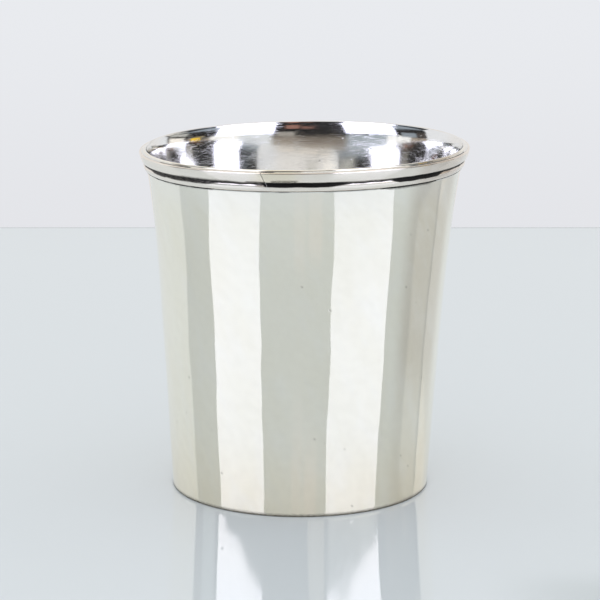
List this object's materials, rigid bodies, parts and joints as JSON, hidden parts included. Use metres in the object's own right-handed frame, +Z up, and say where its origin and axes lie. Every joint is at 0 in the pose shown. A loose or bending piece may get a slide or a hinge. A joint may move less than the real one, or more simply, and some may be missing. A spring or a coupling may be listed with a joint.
{
  "type": "beaker",
  "caption": "Small flared silver beaker of seamed sheet, with a let-in domed bottom and a banded, grooved and beaded strip soldered on under the lip.",
  "frame": {"origin": "middle of the foot, on the surface that the beaker stands on", "axes": "+Z up along the cup's axis; the wall's upright seam is at +Y, and -Y is the side that the picture shows"},
  "size_m": [0.0808, 0.0808, 0.0855],
  "materials": {
    "silver": "bright silver with soft hand-planishing marks, fine scratches and dark patina in the groove",
    "silver_solder": "slightly duller and yellower silver solder, with small pits"
  },
  "bodies": {
    "root": {"body_wall": "silver", "base_disc": "silver", "rim_moulding": "silver", "wall_seam_solder": "silver_solder", "base_solder": "silver_solder", "rim_upper_solder": "silver_solder", "rim_lower_solder": "silver_solder", "rim_joint_solder": "silver_solder"}
  },
  "joints": []
}
